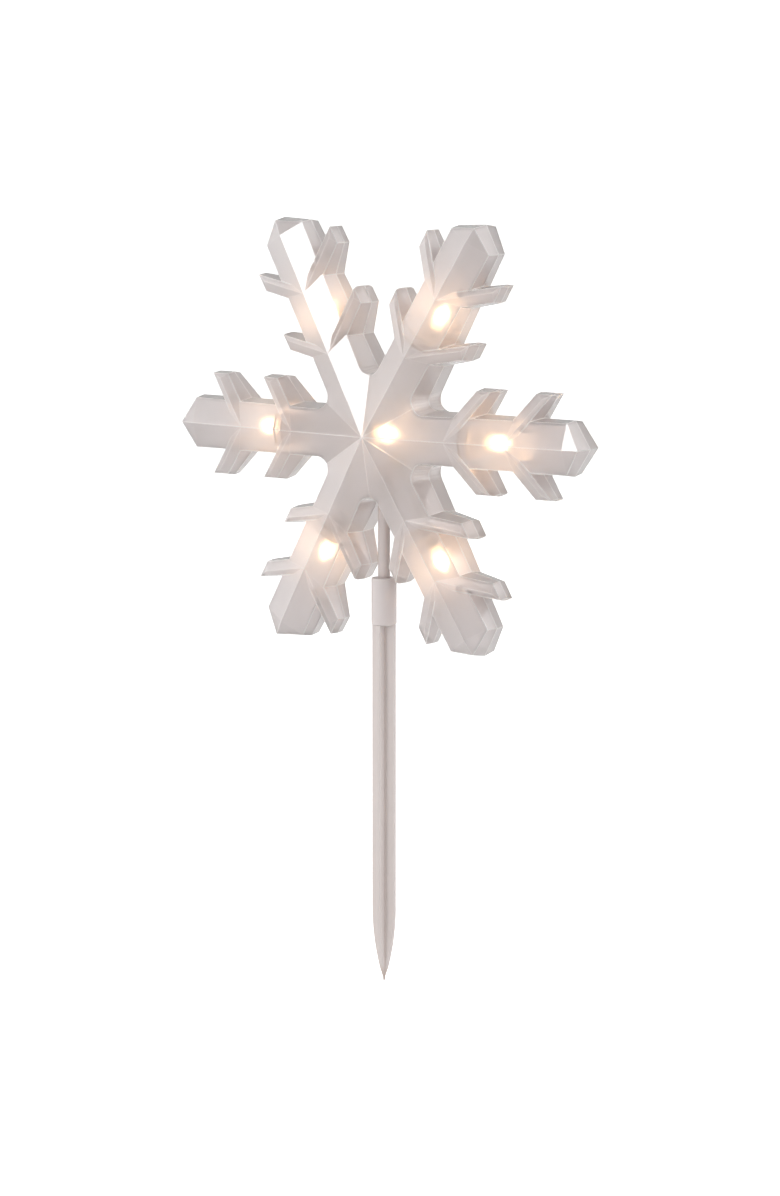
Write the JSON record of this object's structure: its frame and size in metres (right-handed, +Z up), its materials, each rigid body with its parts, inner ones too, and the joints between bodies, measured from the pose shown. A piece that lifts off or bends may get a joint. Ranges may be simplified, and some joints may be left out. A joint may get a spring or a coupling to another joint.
{
  "type": "snowflake path light stake",
  "caption": "Faceted translucent snowflake lamp on a round stem, a coupling collar and a cross-shaped ground spike, with warm mini lamps inside.",
  "frame": {"origin": "on the stem's axis at the soil line, which is the collar's lower face and the top of the spike's blades", "axes": "+Z up along the stem, -Y towards the snowflake's front, +X to the right as seen from the front"},
  "size_m": [0.2, 0.0313, 0.3135],
  "materials": {
    "pearl_plastic": "pearly translucent, gloss",
    "stem_plastic": "satin",
    "white_plastic": "satin moulded",
    "grommet_vinyl": "soft satin",
    "lamp_glass": "clear glass",
    "lamp_filament": "glowing warm white",
    "holder_plastic": "moulded",
    "wire_vinyl": "smooth vinyl"
  },
  "bodies": {
    "spike": {"ground_spike": "white_plastic"},
    "collar": {"collar": "white_plastic"},
    "head": {"front_shell": "pearl_plastic", "rear_shell": "pearl_plastic", "stem_tube": "stem_plastic", "lead_grommet": "grommet_vinyl", "lamp_bulb_1": "lamp_glass", "lamp_filament_1": "lamp_filament", "lamp_holder_1": "holder_plastic", "lamp_bulb_2": "lamp_glass", "lamp_filament_2": "lamp_filament", "lamp_holder_2": "holder_plastic", "lamp_bulb_3": "lamp_glass", "lamp_filament_3": "lamp_filament", "lamp_holder_3": "holder_plastic", "lamp_bulb_4": "lamp_glass", "lamp_filament_4": "lamp_filament", "lamp_holder_4": "holder_plastic", "lamp_bulb_5": "lamp_glass", "lamp_filament_5": "lamp_filament", "lamp_holder_5": "holder_plastic", "lamp_bulb_6": "lamp_glass", "lamp_filament_6": "lamp_filament", "lamp_holder_6": "holder_plastic", "centre_lamp_bulb": "lamp_glass", "centre_lamp_filament": "lamp_filament", "centre_lamp_holder": "holder_plastic", "link_wire_1": "wire_vinyl", "link_wire_2": "wire_vinyl", "link_wire_3": "wire_vinyl", "link_wire_4": "wire_vinyl", "centre_wire_left": "wire_vinyl", "centre_wire_lower": "wire_vinyl", "lead_wire_left": "wire_vinyl", "lead_wire_right": "wire_vinyl"}
  },
  "joints": [
    {"name": "collar_pull", "type": "slide", "parent": "spike", "child": "collar", "axis": [0, 0, 1], "range_m": [0, 0.03]},
    {"name": "head_turn", "type": "hinge", "parent": "collar", "child": "head", "pos_m": [0, 0, 0.0193], "axis": [0, 0, 1], "continuous": true}
  ]
}
